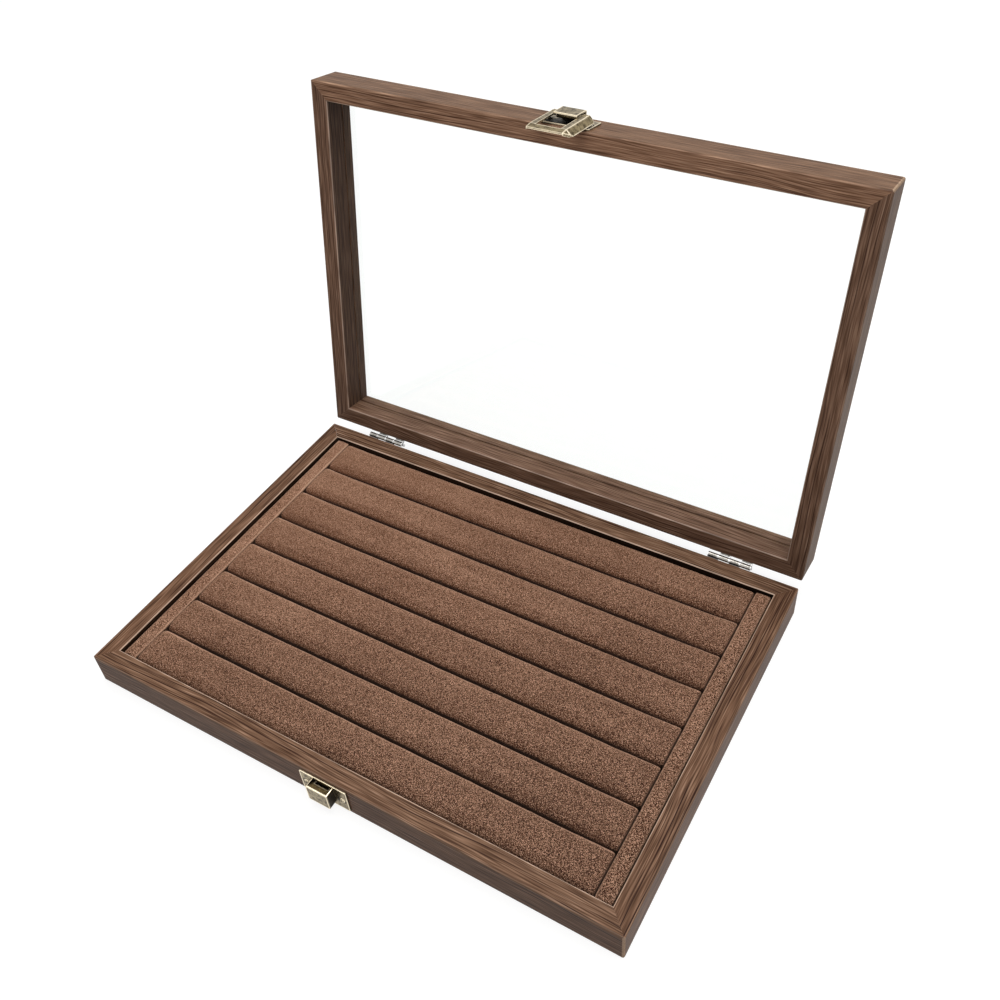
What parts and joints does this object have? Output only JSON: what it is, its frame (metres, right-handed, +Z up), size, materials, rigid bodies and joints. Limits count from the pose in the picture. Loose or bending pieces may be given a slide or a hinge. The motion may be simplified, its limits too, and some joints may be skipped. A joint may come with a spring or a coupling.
{
  "type": "ring display box",
  "caption": "Flat wooden display box with a glazed, stop-hinged lid, padded rolls that grip rings, and a hasp loop that closes over a catch.",
  "frame": {"origin": "centre of the base's underside", "axes": "+Z up, +X to the right along the front, +Y from the front to the hinges; the lid stands open"},
  "size_m": [0.35, 0.3142, 0.268],
  "materials": {
    "walnut": "thin satin varnish over dark-lined walnut grain",
    "panel": "plain stained board",
    "suede": "brown suede-like velvet over soft padding",
    "glass": "clear float glass",
    "nickel": "bright nickel plate",
    "antique_brass": "antique brass plate, darkened in the hollows"
  },
  "bodies": {
    "base": {"base_rail_front": "walnut", "base_rail_back": "walnut", "base_rail_left": "walnut", "base_rail_right": "walnut", "bottom_panel": "panel", "tray_board": "panel", "side_bar_left": "suede", "side_bar_right": "suede", "ring_roll_1": "suede", "ring_roll_2": "suede", "ring_roll_3": "suede", "ring_roll_4": "suede", "ring_roll_5": "suede", "ring_roll_6": "suede", "ring_roll_7": "suede", "ring_roll_8": "suede", "hinge_base_left": "nickel", "hinge_base_right": "nickel", "hinge_pin_left": "nickel", "hinge_pin_right": "nickel", "hinge_screws_base": "nickel", "catch": "antique_brass", "catch_screws": "antique_brass"},
    "lid": {"lid_rail_front": "walnut", "lid_rail_back": "walnut", "lid_rail_left": "walnut", "lid_rail_right": "walnut", "glass_pane": "glass", "hinge_lid_left": "nickel", "hinge_lid_right": "nickel", "hinge_screws_lid": "nickel", "hasp": "antique_brass", "hasp_screws": "antique_brass"},
    "hasp_loop": {"loop": "antique_brass"}
  },
  "joints": [
    {"name": "lid_hinge", "type": "hinge", "parent": "base", "child": "lid", "pos_m": [0, 0.1228, 0.0213], "axis": [1, 0, 0], "range_deg": [0, 99.7]},
    {"name": "loop_hinge", "type": "hinge", "parent": "lid", "child": "hasp_loop", "pos_m": [-0.002, 0.17287, 0.26378], "axis": [-1, 0, 0], "range_deg": [0, 165]}
  ]
}
